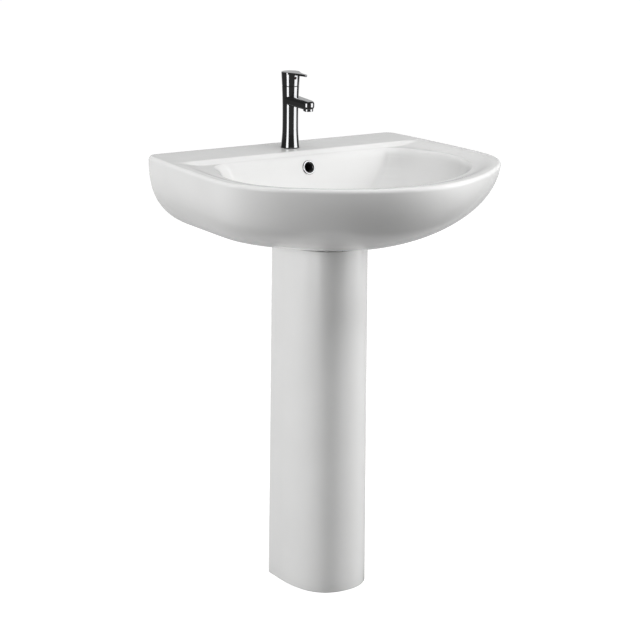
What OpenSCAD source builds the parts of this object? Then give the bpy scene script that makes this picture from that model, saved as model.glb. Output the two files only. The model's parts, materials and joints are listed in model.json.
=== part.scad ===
// Pedestal sink: a glazed basin on a hollow column, with a single-lever mixer tap, a click-to-close waste and a
// bottle trap. Millimetres, +Z up, front along -Y. The origin is on the floor under the middle of the basin, so
// the wall is the plane y = basin_depth / 2. Inside the functions, d is the distance from the wall.

/* [Basin] */
// Height of the basin's rim above the floor
rim_height = 850; // [820:5:880]
// Width across the widest part of the rim
basin_width = 604; // [590:2:616]
// Width of the straight edge against the wall
back_width = 572; // [560:2:580]
// Wall to the front of the rim
basin_depth = 528; // [516:2:536]
// Height of the outer skin, from the rim to its lowest point
skin_height = 167; // [166:1:170]
// Depth of the bowl below the rim
bowl_depth = 144; // [138:1:146]
// Width of the bowl at its edge
bowl_width = 504; // [490:2:510]
// How far the rim is dished below the deck and the lip
dish_depth = 8; // [4:1:9]
// Thickness of the china walls
china_wall = 9; // [8:1:10]

/* [Pedestal] */
// Width of the column at the floor
column_width = 166; // [160:1:170]
// Size of the column's top compared with its foot
column_taper = 0.952; // [0.94:0.002:0.98]
// Wall to the open back of the column
column_back = 123; // [118:1:126]
// Wall to the front of the column
column_front = 282; // [276:1:283]
// Thickness of the column's wall
column_wall = 12; // [10:1:13]

/* [Tap] */
// Wall to the tap's axis
tap_reach_from_wall = 60; // [56:1:62]
// Radius of the tap's body at its base
tap_radius = 18.4; // [18.2:0.1:19.4]
// Radius of the tap's waist
tap_waist_radius = 15.4; // [15.4:0.1:16.4]
// Radius of the tap at the seam between its body and its lever
seam_radius = 16.8; // [16.7:0.1:17]
// Radius of the lever's head at its top
lever_radius = 18.2; // [18:0.1:19]
// Tap's axis to the middle of the aerator
spout_reach = 64; // [58:1:70]
// Tap's axis to the tip of the lever
lever_reach = 57; // [50:1:60]
// Top of the lever above the rim
lever_top = 148; // [147:0.5:150]

/* [Waste] */
// Wall to the middle of the waste
waste_from_wall = 205; // [202:1:208]
// Rise of the plug between closed and open
plug_rise = 9; // [6:1:10]

/* [Hidden] */
$fn = 48;
wall_y = basin_depth / 2;
deck_depth = 102;
tap_y = wall_y - tap_reach_from_wall;
waste_y = wall_y - waste_from_wall;

// Outer skin
skin_cut = skin_height - 4;
skin_middle = 160;
skin_back = 20;
rim_widest = 296;
rim_pull = 0.059;
skin_bottom_z = rim_height - skin_cut;

// Bowl
bowl_back = 116;
bowl_back_width = 450;
bowl_widest = 258;
bowl_front = basin_depth - 58;
bowl_corner = 45;
bowl_edge_radius = 8;
bowl_pull = 0.018;
bowl_bottom_z = rim_height - bowl_depth;
waste_seat_z = bowl_bottom_z - 3;

// Cavity between the skin and the bowl
cavity_top = 15;
cavity_bottom = 138;
cavity_back = 14;
cavity_rear_wall = 88;
cavity_rear_limit = 142;
duct_thickness = 28;

// Overflow: the ring's middle, the wall's slope there, and the duct down to the waste
overflow_drop = 29;
overflow_tilt = 16;
duct_top = 110;
duct_foot = 172;
duct_radius = 5;
duct_z = bowl_bottom_z - 11;

duct_drop = rim_height - overflow_drop - duct_z;
duct_lean = -atan((duct_foot - duct_top) / duct_drop);
duct_length = sqrt(pow(duct_drop, 2) + pow(duct_foot - duct_top, 2));

// Number of points along each stretch of half a ring
BACK_STEPS = 5;
CORNER_STEPS = 4;
SIDE_STEPS = 7;
FRONT_STEPS = 14;
HALF_POINTS = BACK_STEPS + CORNER_STEPS + SIDE_STEPS + FRONT_STEPS + 1;
RING_POINTS = 2 * HALF_POINTS - 2;

// Pedestal
pad_thickness = 2;
column_height = skin_bottom_z - pad_thickness;
column_straight = 167;
column_pull = -0.0595;

// Tap heights
deck_z = rim_height;
tap_base_z = deck_z + 1.2;
pivot_z = rim_height + 111;
dome_radius = 19;
lever_clearance = 0.6;
body_edge_z = pivot_z + sqrt(pow(dome_radius, 2) - pow(seam_radius, 2));
waist_low_z = rim_height + 45;
waist_high_z = rim_height + 65;
pocket_z = pivot_z - 35;
pocket_radius = 13;
nut_bore_radius = 14.4;
spout_z = rim_height + 93.5;
spout_thickness = 18;
spout_slope = 2.5;
spout_tip_radius = 11.8;
aerator_z = rim_height + 79;
tail_x = 8.2;
tail_y = -4;
tail_radius = 5;
tail_top_z = deck_z + 21.5;
tail_end_x = 30;
tail_bend_z = 760;
tail_low_z = 670;
tail_end_z = 420;
stud_y = 9;
stud_radius = 4;
deck_under_z = rim_height - cavity_top;
clamp_thickness = 3;

// Waste and trap
waste_bore_radius = 17.5;
waste_tube_radius = 20.9;
waste_tube_end_z = 628;
flange_top_z = bowl_bottom_z + 0.6;
trap_outlet_z = 583;
outlet_radius = 16;
outlet_end_y = wall_y - 36;
branch_end_y = waste_y + 48;

CHINA = [0.93, 0.93, 0.92];
CHROME = [0.75, 0.77, 0.8];
BRASS = [0.8, 0.65, 0.35];
COPPER = [0.75, 0.45, 0.3];
RUBBER = [0.12, 0.12, 0.13];
PLASTIC = [0.9, 0.9, 0.9];
CERAMIC = [0.85, 0.83, 0.78];
STEEL = [0.6, 0.6, 0.62];

// ---- Rings of the basin ----

// Quarter of a superellipse: 1 at u = 0, falling to 0 at u = 1
function falloff(u, n) = pow(max(1 - pow(u, n), 0), 1 / n);

// How far an oval's point at angle t is scaled: the oval is an ellipse pulled in round its corner by the given share
function pulled(t, pull) = 1 - pull * pow(sin(2 * t), 2);

// Half of a D-shaped ring, from the middle of its back edge to the middle of its front, as [x, d]
function half_ring(half_w, half_back, back_d, widest_d, front_d, pull, corner) = concat(
    [for (i = [0 : BACK_STEPS - 1]) [i / BACK_STEPS * (half_back - corner), back_d]],
    [for (i = [0 : CORNER_STEPS - 1]) let (a = 90 * i / CORNER_STEPS)
        [half_back - corner + corner * sin(a), back_d + corner - corner * cos(a)]],
    [for (i = [0 : SIDE_STEPS - 1]) let (s = i / SIDE_STEPS)
        [half_w - (half_w - half_back) * pow(1 - s, 2), back_d + corner + (widest_d - back_d - corner) * s]],
    [for (i = [0 : FRONT_STEPS]) let (t = 90 * i / FRONT_STEPS)
        [half_w * cos(t) * pulled(t, pull), widest_d + (front_d - widest_d) * sin(t) * pulled(t, pull)]]
);

// The whole ring in model coordinates, clockwise from above
function whole_ring(half, z) = concat(
    [for (p = half) [p[0], wall_y - p[1], z]],
    [for (i = [HALF_POINTS - 2 : -1 : 1]) [-half[i][0], wall_y - half[i][1], z]]
);

// Outer skin at depth h below the rim, moved inwards by inset and off the wall by back_inset
function skin_ring(h, inset, back_inset, z) = let (
    u = h / skin_height,
    half_back = back_width / 2 * falloff(u, 2.78) - inset,
    half_w = half_back + (basin_width - back_width) / 2 * pow(1 - u, 2),
    widest_d = skin_back + (rim_widest - skin_back) * falloff(u, 1.92),
    front_d = skin_middle + (basin_depth - skin_middle) * falloff(u, 2.16) - inset
) whole_ring(
    half_ring(half_w, half_back, back_inset, widest_d, front_d, rim_pull, min(16, half_back / 2)), z
);

// How far along the bowl's depth h is, from 0 at its edge to 1 at its bottom
function bowl_part(h) = (max(h, dish_depth) - dish_depth) / (bowl_depth - dish_depth);

// How far the rounded edge has moved the bowl's wall inwards at depth h
function bowl_edge(h) = bowl_edge_radius * (1 - exp((dish_depth - max(h, dish_depth)) / 4));

// Distance from the wall of the bowl's rear wall at depth h
function bowl_rear(h) = let (start = bowl_back + bowl_edge(h))
    start + (waste_from_wall - start) * (1 - falloff(bowl_part(h), 1.4));

// Bowl at depth h, moved outwards by outset, with its back edge at back_d
function bowl_ring(h, outset, back_d, z) = let (
    s = falloff(bowl_part(h), 1.7),
    e = bowl_edge(h),
    half_back = (bowl_back_width / 2 - e) * s + outset,
    widest_d = waste_from_wall + (bowl_widest - waste_from_wall) * s,
    front_d = waste_from_wall + (bowl_front - e - waste_from_wall) * s + outset
) whole_ring(
    half_ring((bowl_width / 2 - e) * s + outset, half_back, back_d, widest_d, front_d, bowl_pull,
        min(bowl_corner, half_back * 0.5)), z
);

function smooth(t) = let (c = min(max(t, 0), 1)) c * c * (3 - 2 * c);

// Between the lip (w = 0) and the bowl's edge (w = 1): flat over the deck, dished elsewhere
function rim_ring(w) = let (
    lip = skin_ring(0, 4.5, 0, rim_height),
    edge = bowl_ring(dish_depth, 0, bowl_back, rim_height)
) [for (i = [0 : RING_POINTS - 1]) let (
    p = lip[i] + (edge[i] - lip[i]) * w,
    over_dish = smooth((wall_y - p[1] - deck_depth) / (bowl_back - deck_depth))
) [p[0], p[1], rim_height - dish_depth * smooth(w / 0.5) * over_dish]];

// Triangles between ring k and ring m
function band(k, m) = [for (i = [0 : RING_POINTS - 1]) let (j = (i + 1) % RING_POINTS) each [
    [k * RING_POINTS + i, k * RING_POINTS + j, m * RING_POINTS + j],
    [k * RING_POINTS + i, m * RING_POINTS + j, m * RING_POINTS + i]
]];

module basin_shell() {
    skin_steps = 12;
    bowl_steps = 12;
    skin = [for (k = [0 : skin_steps - 1]) let (h = skin_cut * sin(90 * (skin_steps - k) / skin_steps))
        skin_ring(h, 0, 0, rim_height - h)];
    lip = [skin_ring(4, 0, 0, rim_height - 4), skin_ring(0, 1.4, 0, rim_height - 1.2), skin_ring(0, 4.5, 0, rim_height)];
    rim = [for (w = [0.12, 0.3, 0.55, 0.88]) rim_ring(w)];
    bowl = [for (k = [0 : bowl_steps - 1]) let (
        h = dish_depth + (bowl_depth - dish_depth) * (1 - cos(180 * k / bowl_steps)) / 2
    ) bowl_ring(h, 0, bowl_rear(h), rim_height - h)];
    rings = concat(skin, lip, rim, bowl);
    count = len(rings);
    under = [0, wall_y - skin_middle, skin_bottom_z];
    bottom = [0, waste_y, bowl_bottom_z];
    first = count * RING_POINTS;
    polyhedron(
        points = concat([for (ring = rings) each ring], [under, bottom]),
        faces = concat(
            [for (k = [0 : count - 2]) each band(k, k + 1)],
            [for (i = [0 : RING_POINTS - 1]) [first, (i + 1) % RING_POINTS, i]],
            [for (i = [0 : RING_POINTS - 1]) [first + 1, first - RING_POINTS + i,
                first - RING_POINTS + (i + 1) % RING_POINTS]]
        )
    );
}

// Rear of the bowl's own wall at depth h, thick enough to hold the overflow's duct
function cavity_rear(h) =
    min(max(bowl_rear(h - china_wall) - duct_thickness, cavity_rear_wall), cavity_rear_limit);

// The space inside the casting, a closed loop between the skin and the bowl
module basin_cavity() {
    levels = [cavity_bottom, 126, 110, 90, 60, 35, cavity_top];
    count = len(levels);
    outer = [for (h = levels) skin_ring(h + china_wall, china_wall, cavity_back, rim_height - h)];
    inner = [for (k = [count - 1 : -1 : 0]) let (h = levels[k])
        bowl_ring(h - china_wall, china_wall, cavity_rear(h), rim_height - h)];
    rings = concat(outer, inner);
    polyhedron(
        points = [for (ring = rings) each ring],
        faces = [for (k = [0 : len(rings) - 1]) each band(k, (k + 1) % len(rings))]
    );
}

module ring(outer, inner, height) {
    difference() {
        cylinder(r = outer, h = height);
        translate([0, 0, -1]) cylinder(r = inner, h = height + 2);
    }
}

// Children along +Y from the given y
module along_y(y) {
    translate([0, y, 0]) rotate([-90, 0, 0]) children();
}

module at_tap() {
    translate([0, tap_y, 0]) children();
}

module at_waste(z) {
    translate([0, waste_y, z]) children();
}

// Children with +Z out of the bowl's rear wall, at the overflow
module at_overflow() {
    translate([0, wall_y - bowl_rear(overflow_drop), rim_height - overflow_drop])
        rotate([90 - overflow_tilt, 0, 0]) children();
}

module basin() {
    color(CHINA) difference() {
        basin_shell();
        basin_cavity();
        // Open underside behind the column, where the tap is tightened
        translate([-150, wall_y - 82, skin_bottom_z - 10]) cube([300, 62, 40]);
        // Tap hole
        translate([0, tap_y, deck_under_z - 5]) cylinder(r = 15.5, h = 30);
        // Two wall-fixing holes
        for (x = [-140, 140]) translate([x, wall_y - 20, 790]) rotate([-90, 0, 0]) cylinder(r = 6, h = 30);
        // Waste hole and the seat of its flange
        at_waste(skin_bottom_z - 10) cylinder(r = 22.5, h = 60);
        at_waste(waste_seat_z) cylinder(r = 33, h = 30);
        // Overflow hole with a flat seat, and its duct down to the waste
        at_overflow() translate([0, 0, -20]) cylinder(r = 10.6, h = 34);
        at_overflow() translate([0, 0, -1]) cylinder(r = 13.4, h = 20);
        translate([0, wall_y - duct_top, rim_height - overflow_drop]) rotate([duct_lean, 0, 0]) {
            sphere(r = duct_radius + 0.6);
            rotate([180, 0, 0]) cylinder(r = duct_radius, h = duct_length);
            translate([0, 0, -duct_length]) sphere(r = duct_radius + 0.6);
        }
        translate([0, waste_y, duct_z]) rotate([-90, 0, 0]) cylinder(r = duct_radius, h = waste_from_wall - duct_foot);
    }
}

// Half of the column's outline inset by t, from the side wall's straight end to the middle of the front
function column_half(t) = [for (i = [0 : 20]) let (a = 90 * i / 20)
    [(column_width / 2 - t) * cos(a) * pulled(a, column_pull),
     wall_y - column_straight - (column_front - t - column_straight) * sin(a) * pulled(a, column_pull)]];

function mirrored(points) = [for (i = [len(points) - 2 : -1 : 0]) [-points[i][0], points[i][1]]];

module pedestal() {
    back_y = wall_y - column_back;
    outer = column_half(0);
    inner = column_half(column_wall);
    outline = concat(
        [[column_width / 2, back_y]], outer, mirrored(outer), [[-column_width / 2, back_y]],
        [[column_wall - column_width / 2, back_y]],
        [for (i = [0 : 20]) [-inner[i][0], inner[i][1]]],
        [for (i = [19 : -1 : 0]) inner[i]],
        [[column_width / 2 - column_wall, back_y]]
    );
    lug_x = column_width / 2 - column_wall - 14;
    color(CHINA) union() {
        translate([0, back_y, 0]) linear_extrude(height = column_height, scale = column_taper)
            translate([0, -back_y]) polygon(outline);
        // Foot lugs with the floor screws' holes
        for (side = [-1, 1]) difference() {
            translate([side * (lug_x + 1) - 16, back_y - 42, 0]) cube([32, 36, 14]);
            translate([side * lug_x, back_y - 24, -1]) cylinder(r = 4, h = 20);
        }
    }
}

module pedestal_pads() {
    strip = column_wall - 4;
    side_x = (column_width / 2 - column_wall / 2) * column_taper;
    front_y = wall_y - column_back - (column_front - column_back - column_wall) * column_taper;
    color(RUBBER) translate([0, 0, column_height]) {
        for (side = [-1, 1])
            translate([side * side_x - strip / 2, wall_y - column_back - 40, 0]) cube([strip, 34, pad_thickness]);
        translate([-16, front_y - strip - 1, 0]) cube([32, strip, pad_thickness]);
    }
}

module overflow_ring() {
    color(CHROME) at_overflow() rotate_extrude() polygon([
        [9.2, -13], [10.4, -13], [10.4, -0.9], [13.2, -0.9], [13.2, 0.4], [12.4, 1.4], [10.6, 1.4], [9.2, 0]
    ]);
}

// ---- Tap ----

// Radius of the tap's body at height z
function body_radius(z) = let (
    below = max(waist_low_z - z, 0) / (waist_low_z - tap_base_z),
    above = max(z - waist_high_z, 0) / (body_edge_z - waist_high_z)
) tap_waist_radius + (tap_radius - tap_waist_radius) * pow(below, 2) + (seam_radius - tap_waist_radius) * pow(above, 2);

// Plan of the spout, from the body's axis to its round tip along -Y
module spout_plan() {
    root = tap_waist_radius + 0.9;
    lean = asin((root - spout_tip_radius) / spout_reach);
    polygon([
        [root * cos(lean), -root * sin(lean)], [spout_tip_radius * cos(lean), -spout_reach - spout_tip_radius * sin(lean)],
        [-spout_tip_radius * cos(lean), -spout_reach - spout_tip_radius * sin(lean)], [-root * cos(lean), -root * sin(lean)]
    ]);
    translate([0, -spout_reach]) circle(r = spout_tip_radius);
}

module tap_body() {
    steps = 20;
    profile = [for (i = [0 : steps]) let (z = tap_base_z + (body_edge_z - tap_base_z) * i / steps) [body_radius(z), z]];
    dome = [for (a = [30, 32]) [dome_radius * cos(a), pivot_z + dome_radius * sin(a)]];
    top = [[nut_bore_radius + 1.2, pivot_z + sqrt(pow(dome_radius, 2) - pow(nut_bore_radius + 1.2, 2))]];
    color(CHROME) at_tap() difference() {
        union() {
            rotate_extrude($fn = 64) polygon(concat([[0, tap_base_z]], profile, dome, top, [[0, top[0][1]]]));
            translate([0, 0, spout_z]) rotate([spout_slope, 0, 0])
                translate([0, 0, -spout_thickness / 2]) linear_extrude(height = spout_thickness) spout_plan();
        }
        // Open foot, the tails' sockets, the stud's socket and the two supply passages
        translate([0, 0, tap_base_z - 1]) cylinder(r = 15, h = 7.8);
        for (side = [-1, 1]) {
            translate([side * tail_x, tail_y, tap_base_z]) cylinder(r = tail_radius + 0.05, h = tail_top_z + 0.5 - tap_base_z);
            translate([side * tail_x, tail_y, tap_base_z]) cylinder(r = 3, h = pocket_z - tap_base_z + 1);
        }
        translate([0, stud_y, tap_base_z]) cylinder(r = stud_radius + 0.05, h = tail_top_z + 0.5 - tap_base_z);
        // Cartridge pocket and the nut's thread above it
        translate([0, 0, pocket_z]) cylinder(r = pocket_radius, h = 60);
        translate([0, 0, pivot_z - 8]) cylinder(r = nut_bore_radius, h = 40);
        // Passage along the spout, and the aerator's bore
        translate([0, 0, spout_z + 0.5]) rotate([90 + spout_slope, 0, 0]) cylinder(r = 4.5, h = spout_reach);
        translate([0, -spout_reach, aerator_z - 10]) cylinder(r = 9.9, h = 22.5);
    }
}

module tap_base_ring() {
    color(RUBBER) at_tap() translate([0, 0, deck_z]) ring(18, 15.8, tap_base_z - deck_z);
}

module cartridge_seals() {
    color(RUBBER) at_tap() for (a = [30, 150, 270])
        rotate([0, 0, a]) translate([7, 0, pocket_z]) ring(4, 2.6, 1.5);
}

module cartridge_housing() {
    bore_z = pivot_z - 19;
    color(PLASTIC) at_tap() difference() {
        translate([0, 0, pocket_z + 1.5]) cylinder(r = 12.6, h = pivot_z + 1 - pocket_z - 1.5);
        translate([0, 0, bore_z]) cylinder(r = 10.8, h = 30);
        for (a = [30, 150, 270]) rotate([0, 0, a]) translate([7, 0, pocket_z]) cylinder(r = 2.5, h = 30);
    }
}

module fixed_disc() {
    color(CERAMIC) at_tap() difference() {
        translate([0, 0, pivot_z - 19]) cylinder(r = 10.5, h = 3.5);
        for (a = [30, 150, 270]) rotate([0, 0, a]) translate([6.4, 0, pivot_z - 20]) cylinder(r = 2.3, h = 6);
    }
}

module moving_disc() {
    color(CERAMIC) at_tap() difference() {
        translate([0, 0, pivot_z - 15.45]) cylinder(r = 7.6, h = 3.4);
        translate([0, -1, pivot_z - 16]) cylinder(r = 3.6, h = 2.5);
    }
}

module disc_carrier() {
    color(PLASTIC) at_tap() difference() {
        translate([0, 0, pivot_z - 12.05]) cylinder(r = 7.6, h = 5.6);
        translate([0, 0, pivot_z - 11.2]) cylinder(r = 2.5, h = 8);
    }
}

module cartridge_rotor() {
    color(PLASTIC) at_tap() difference() {
        translate([0, 0, pivot_z - 6.1]) cylinder(r = 10.72, h = 10.6);
        translate([-4.4, -8, pivot_z - 8]) cube([8.8, 16, 20]);
        translate([-12, 0, pivot_z]) rotate([0, 90, 0]) cylinder(r = 1.5, h = 24);
    }
}

module spindle() {
    color(STEEL) at_tap() translate([0, 0, pivot_z]) difference() {
        union() {
            translate([0, 0, -4]) cylinder(r = 4, h = 34);
            translate([0, 0, -8.2]) cylinder(r = 1.5, h = 6);
            translate([0, 0, -8.2]) sphere(r = 2.2);
        }
        translate([-6, 0, 0]) rotate([0, 90, 0]) cylinder(r = 1.56, h = 12);
    }
}

module spindle_pin() {
    color(STEEL) at_tap() translate([-10, 0, pivot_z]) rotate([0, 90, 0]) cylinder(r = 1.5, h = 20);
}

module cartridge_nut() {
    color(BRASS) at_tap() rotate_extrude() polygon([
        [12.8, pivot_z - 7.8], [14.3, pivot_z - 7.8], [14.3, pivot_z + 5], [11, pivot_z + 5],
        [11, pivot_z + 1.3], [12.8, pivot_z + 1.3]
    ]);
}

module cover_ring() {
    inner_radius = dome_radius - 1.5;
    rim_radius = 15.4;
    rim_angle = acos(rim_radius / dome_radius);
    eye_angle = acos(11.6 / dome_radius);
    steps = 6;
    outside = [for (i = [0 : steps]) let (a = rim_angle + (eye_angle - rim_angle) * i / steps)
        [dome_radius * cos(a), pivot_z + dome_radius * sin(a)]];
    inside = [for (i = [steps : -1 : 0]) let (a = rim_angle + 6 + (eye_angle - rim_angle - 6) * i / steps)
        [inner_radius * cos(a), pivot_z + inner_radius * sin(a)]];
    foot = [[13.2, pivot_z + 5.2], [14.3, pivot_z + 5.2], [14.3, outside[0][1]]];
    color(CHROME) at_tap() rotate_extrude() polygon(concat(outside, inside, foot));
}

// Plan of the lever's blade, which narrows from its round head to a slim tip
module lever_plan() {
    steps = 14;
    tip_half = 2.6;
    start = 6;
    start_half = sqrt(pow(lever_radius, 2) - pow(start, 2)) - 0.6;
    flank = [for (i = [0 : steps]) let (t = i / steps)
        [tip_half + (start_half - tip_half) * pow(1 - t, 1.7), -start - (lever_reach - tip_half - start) * t]];
    polygon(concat(flank, [[0, -lever_reach]], [for (i = [steps : -1 : 0]) [-flank[i][0], flank[i][1]]]));
}

module lever() {
    recess_radius = dome_radius + lever_clearance;
    skirt_z = pivot_z + sqrt(pow(recess_radius, 2) - pow(seam_radius, 2)) + 0.3;
    top_z = rim_height + lever_top;
    plate = 5;
    screw_z = rim_height + 137;
    edge_angle = asin((skirt_z - pivot_z) / recess_radius);
    recess = [for (i = [0 : 12]) let (a = edge_angle + (90 - edge_angle) * i / 12)
        [recess_radius * cos(a), pivot_z + recess_radius * sin(a)]];
    color(CHROME) at_tap() difference() {
        union() {
            rotate_extrude($fn = 64) polygon(concat(
                recess, [[0, top_z], [lever_radius - 0.8, top_z], [lever_radius, top_z - 0.8], [seam_radius, skirt_z]]
            ));
            translate([0, 0, top_z - plate]) linear_extrude(height = plate - 0.3) lever_plan();
        }
        translate([0, 0, pivot_z + 15]) cylinder(r = 4.05, h = 15.4);
        // Grub screw's thread, and the seat of the index cap in front of it
        translate([0, 0, screw_z]) rotate([90, 0, 0]) cylinder(r = 2.5, h = 30);
        translate([0, -15.2, screw_z]) rotate([90, 0, 0]) cylinder(r = 2.8, h = 9);
    }
}

module lever_grub_screw() {
    color(STEEL) at_tap() translate([0, -4.1, rim_height + 137]) rotate([90, 0, 0]) difference() {
        cylinder(r = 2.4, h = 9);
        translate([0, 0, 6]) cylinder(r = 1.4, h = 6, $fn = 6);
    }
}

module lever_index_cap() {
    color("firebrick") at_tap() translate([0, -15.2, rim_height + 137]) rotate([90, 0, 0]) cylinder(r = 2.7, h = 1.2);
}

module at_aerator(z) {
    translate([0, tap_y - spout_reach, z]) children();
}

module aerator_housing() {
    color(CHROME) at_aerator(aerator_z) ring(9.7, 8.3, 12);
}

module aerator_insert() {
    color(PLASTIC) at_aerator(aerator_z + 2) difference() {
        cylinder(r = 8.2, h = 9);
        for (radius = [2.6, 5.6], a = [0 : 60 : 300])
            rotate([0, 0, a + radius * 10]) translate([radius, 0, -1]) cylinder(r = 0.8, h = 12, $fn = 16);
    }
}

module aerator_washer() {
    color(RUBBER) at_aerator(aerator_z + 12) ring(9.6, 6, 0.5);
}

module tap_stud() {
    color(STEEL) at_tap() translate([0, stud_y, 790]) cylinder(r = stud_radius, h = tail_top_z - 790);
}

// Round plate with a slot that straddles the two tails and a hole for the stud
module horseshoe(height) {
    difference() {
        cylinder(r = 25, h = height);
        translate([-tail_x - tail_radius - 1.5, -30, -1])
            cube([2 * (tail_x + tail_radius + 1.5), 30 + tail_y + tail_radius + 1.2, height + 2]);
        translate([0, stud_y, -1]) cylinder(r = stud_radius + 0.3, h = height + 2);
    }
}

module tap_rubber_washer() {
    color(RUBBER) at_tap() translate([0, 0, deck_under_z - clamp_thickness]) horseshoe(clamp_thickness);
}

module tap_clamp_plate() {
    color(STEEL) at_tap() translate([0, 0, deck_under_z - 2 * clamp_thickness]) horseshoe(clamp_thickness);
}

module tap_nut() {
    nut_height = 12;
    color(BRASS) at_tap() translate([0, stud_y, deck_under_z - 2 * clamp_thickness - nut_height]) difference() {
        cylinder(r = 7.5, h = nut_height, $fn = 6);
        translate([0, 0, -1]) cylinder(r = stud_radius + 0.05, h = nut_height + 2);
    }
}

// A tail towards +X: straight down from the tap, slanted outwards, straight down to its free end
module tail_line(radius, over) {
    shift = tail_end_x - tail_x;
    drop = tail_bend_z - tail_low_z;
    translate([tail_x, 0, tail_bend_z]) cylinder(r = radius, h = tail_top_z - tail_bend_z + over);
    translate([tail_x, 0, tail_bend_z]) sphere(r = radius + 0.2);
    translate([tail_x, 0, tail_bend_z])
        rotate([0, 180 - atan(shift / drop), 0]) cylinder(r = radius, h = sqrt(pow(shift, 2) + pow(drop, 2)));
    translate([tail_end_x, 0, tail_low_z]) sphere(r = radius + 0.2);
    translate([tail_end_x, 0, tail_end_z - over]) cylinder(r = radius, h = tail_low_z - tail_end_z + over);
}

module tail() {
    color(COPPER) at_tap() translate([0, tail_y, 0]) difference() {
        tail_line(tail_radius, 0);
        tail_line(tail_radius - 0.8, 1);
    }
}

module hot_tail() {
    mirror([1, 0, 0]) tail();
}

module cold_tail() {
    tail();
}

module tail_seals() {
    color(RUBBER) at_tap() for (side = [-1, 1])
        translate([side * tail_x, tail_y, tap_base_z + 5.2]) ring(5.8, tail_radius + 0.05, 1.6);
}

// ---- Waste ----

module waste_body() {
    color(CHROME) at_waste(0) difference() {
        rotate_extrude() polygon([
            [waste_bore_radius, waste_tube_end_z], [waste_tube_radius, waste_tube_end_z],
            [waste_tube_radius, waste_seat_z + 1.2], [32, waste_seat_z + 1.2], [32, flange_top_z - 1],
            [31, flange_top_z], [24, flange_top_z], [waste_bore_radius, flange_top_z - 6.6]
        ]);
        // Two slots that take in the overflow's water
        translate([-5, -30, duct_z - 5]) cube([10, 60, 10]);
    }
}

module waste_top_seal() {
    color(RUBBER) at_waste(waste_seat_z) ring(31, 21.1, 1.2);
}

module waste_bottom_seal() {
    color(RUBBER) at_waste(skin_bottom_z - 4) ring(30, 21.1, 4);
}

module waste_backnut() {
    color(BRASS) at_waste(skin_bottom_z - 14) difference() {
        cylinder(r = 31, h = 10, $fn = 6);
        translate([0, 0, -1]) cylinder(r = waste_tube_radius + 0.1, h = 12);
    }
}

guide_z = duct_z - 15;

module plug_guide() {
    color(PLASTIC) at_waste(guide_z) difference() {
        union() {
            ring(waste_bore_radius - 0.1, 15.5, 7);
            cylinder(r = 5.5, h = 7);
            for (a = [90, 210, 330]) rotate([0, 0, a]) translate([3.5, -1.2, 1]) cube([13, 2.4, 5]);
        }
        translate([0, 0, -1]) cylinder(r = 3.08, h = 10);
    }
}

module plug_stem() {
    color(STEEL) at_waste(guide_z - plug_rise - 4) union() {
        cylinder(r = 3, h = flange_top_z - 3 - guide_z + plug_rise + 4);
        cylinder(r = 4.6, h = 2.5);
    }
}

module plug_spring() {
    color(STEEL) at_waste(guide_z + 7.2) ring(5, 3.8, flange_top_z - 4.4 - guide_z - 7.2);
}

module plug_cap() {
    color(CHROME) at_waste(flange_top_z) rotate_extrude() polygon([
        [0, -2.9], [8, -2.9], [8, 0.4], [29.5, 0.4], [30, 0.9], [30, 1.8], [26, 3.2], [16, 4.2], [0, 4.6]
    ]);
}

module plug_seal() {
    color(RUBBER) at_waste(flange_top_z - 2) ring(21.6, 17.8, 2.3);
}

// ---- Trap ----

module trap_inlet_nut() {
    color(PLASTIC) at_waste(0) difference() {
        union() {
            translate([0, 0, 620]) cylinder(r = 26, h = 26);
            for (a = [0 : 30 : 330]) rotate([0, 0, a]) translate([25, -2, 620]) cube([3, 4, 26]);
        }
        translate([0, 0, 624.4]) cylinder(r = waste_tube_radius + 0.15, h = 30);
        translate([0, 0, 610]) cylinder(r = 18.8, h = 30);
    }
}

module trap_inlet_washer() {
    color(RUBBER) at_waste(625) ring(20.7, 16.2, 3);
}

module trap_body() {
    color(PLASTIC) at_waste(0) difference() {
        union() {
            translate([0, 0, 621.8]) cylinder(r = 18.5, h = 3.2);
            translate([0, 0, 598]) cylinder(r = 18.5, h = 27);
            translate([0, 0, 564]) cylinder(r = 33, h = 34);
            translate([0, 0, 548]) cylinder(r = 29, h = 17);
            translate([0, 0, trap_outlet_z]) rotate([-90, 0, 0]) cylinder(r = 18.5, h = branch_end_y - waste_y);
        }
        difference() {
            translate([0, 0, 547]) cylinder(r = 26, h = 46);
            translate([0, 0, 547]) cylinder(r = 18, h = 46);
        }
        translate([0, 0, 500]) cylinder(r = 15.8, h = 130);
        translate([0, 22, trap_outlet_z]) rotate([-90, 0, 0]) cylinder(r = 14.4, h = 20);
        translate([0, 33, trap_outlet_z]) rotate([-90, 0, 0]) cylinder(r = outlet_radius + 0.1, h = 40);
    }
    color(PLASTIC) at_waste(520) ring(18, 15.8, 40);
}

module trap_cup() {
    color(PLASTIC) at_waste(0) difference() {
        union() {
            translate([0, 0, 490]) cylinder(r = 33.5, h = 72);
            for (a = [0 : 30 : 330]) rotate([0, 0, a]) translate([32, -2.5, 532]) cube([3.5, 5, 24]);
        }
        translate([0, 0, 494]) cylinder(r = 27.5, h = 90);
        translate([0, 0, 547]) cylinder(r = 29.2, h = 30);
    }
}

module trap_cup_seal() {
    color(RUBBER) at_waste(562) ring(32.5, 29.2, 2);
}

module trap_outlet_nut() {
    color(PLASTIC) translate([0, branch_end_y - 9, trap_outlet_z]) rotate([-90, 0, 0]) difference() {
        union() {
            cylinder(r = 23, h = 16);
            for (a = [15 : 30 : 345]) rotate([0, 0, a]) translate([22, -2, 0]) cube([2.5, 4, 16]);
        }
        translate([0, 0, -1]) cylinder(r = 18.7, h = 12.6);
        translate([0, 0, 5]) cylinder(r = outlet_radius + 0.3, h = 20);
    }
}

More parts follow.
